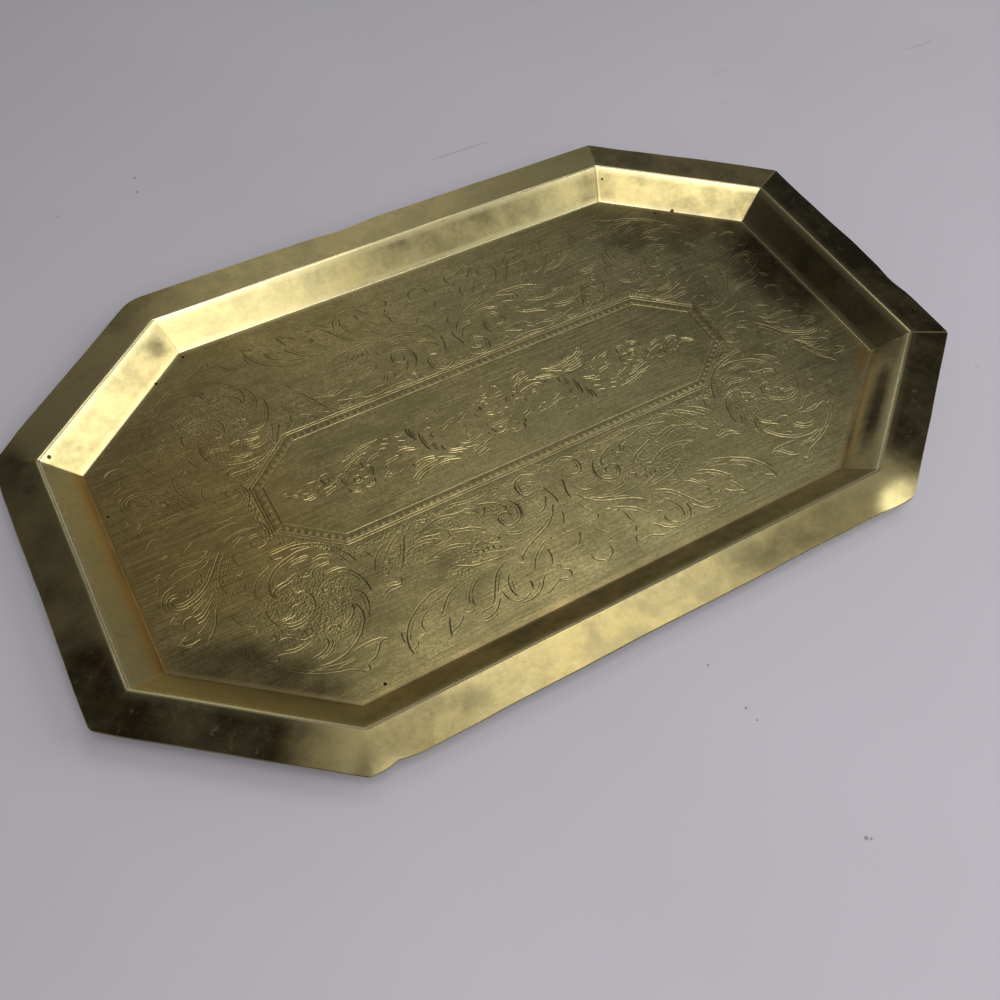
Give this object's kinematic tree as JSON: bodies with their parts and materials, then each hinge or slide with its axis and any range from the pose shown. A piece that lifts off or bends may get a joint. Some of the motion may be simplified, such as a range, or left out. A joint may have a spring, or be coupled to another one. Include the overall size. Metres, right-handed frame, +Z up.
{
  "type": "coin tray",
  "caption": "Shallow long-octagon brass tray with leaning walls, a narrow rim and an engraved floor, for coins and small things.",
  "frame": {"origin": "on the resting face, under the middle of the floor", "axes": "+X along the tray's length, +Y across it, +Z up out of the dish"},
  "size_m": [0.234, 0.147, 0.0079],
  "materials": {
    "brass_sheet": "aged satin brass with brushing marks, tarnish and an engraved floor"
  },
  "bodies": {
    "root": {"tray": "brass_sheet"}
  },
  "joints": []
}
